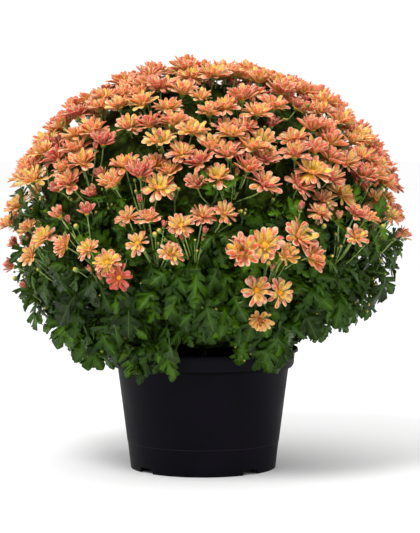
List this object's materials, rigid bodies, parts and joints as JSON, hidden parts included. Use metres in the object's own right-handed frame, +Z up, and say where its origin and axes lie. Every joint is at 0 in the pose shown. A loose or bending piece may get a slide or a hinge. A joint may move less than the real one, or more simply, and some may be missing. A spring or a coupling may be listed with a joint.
{
  "type": "pot chrysanthemum",
  "caption": "Large domed chrysanthemum in full salmon-orange bloom, growing in soil in a round black nursery pot; stands on a flat surface as a flowering plant.",
  "frame": {"origin": "on the pot's axis in the plane of its foot, on the surface that the pot stands on", "axes": "+Z up along the pot's axis; -Y towards the front of the plant; +X to the right seen from the front"},
  "size_m": [0.6443, 0.6496, 0.6488],
  "materials": {
    "pot_plastic": "satin",
    "potting_soil": "matte",
    "foliage": "satin",
    "petals": "matte"
  },
  "bodies": {
    "root": {"leafy_stem_1": "foliage", "leafy_stem_2": "foliage", "leafy_stem_3": "foliage", "leafy_stem_4": "foliage", "leafy_stem_5": "foliage", "leafy_stem_6": "foliage", "leafy_stem_7": "foliage", "leafy_stem_8": "foliage", "pot": "pot_plastic", "soil": "potting_soil", "spray_01": "petals", "spray_02": "petals", "spray_03": "petals", "spray_04": "petals", "spray_05": "petals", "spray_06": "petals", "spray_07": "petals", "spray_08": "petals", "spray_09": "petals", "spray_10": "petals", "spray_11": "petals", "spray_12": "petals", "spray_13": "petals", "spray_14": "petals", "spray_15": "petals", "spray_16": "petals", "spray_17": "petals", "spray_18": "petals", "spray_19": "petals", "spray_20": "petals", "spray_21": "petals", "spray_22": "petals", "spray_23": "petals", "spray_24": "petals", "spray_25": "petals", "spray_26": "petals", "spray_27": "petals", "spray_28": "petals", "spray_29": "petals", "spray_30": "petals", "spray_31": "petals", "spray_32": "petals", "spray_33": "petals", "spray_34": "petals", "spray_35": "petals", "spray_36": "petals", "spray_37": "petals", "spray_38": "petals", "spray_39": "petals", "spray_40": "petals", "spray_41": "petals", "spray_42": "petals", "spray_43": "petals", "spray_44": "petals", "spray_45": "petals", "spray_46": "petals", "spray_47": "petals", "spray_48": "petals", "spray_49": "petals", "spray_50": "petals"}
  },
  "joints": []
}
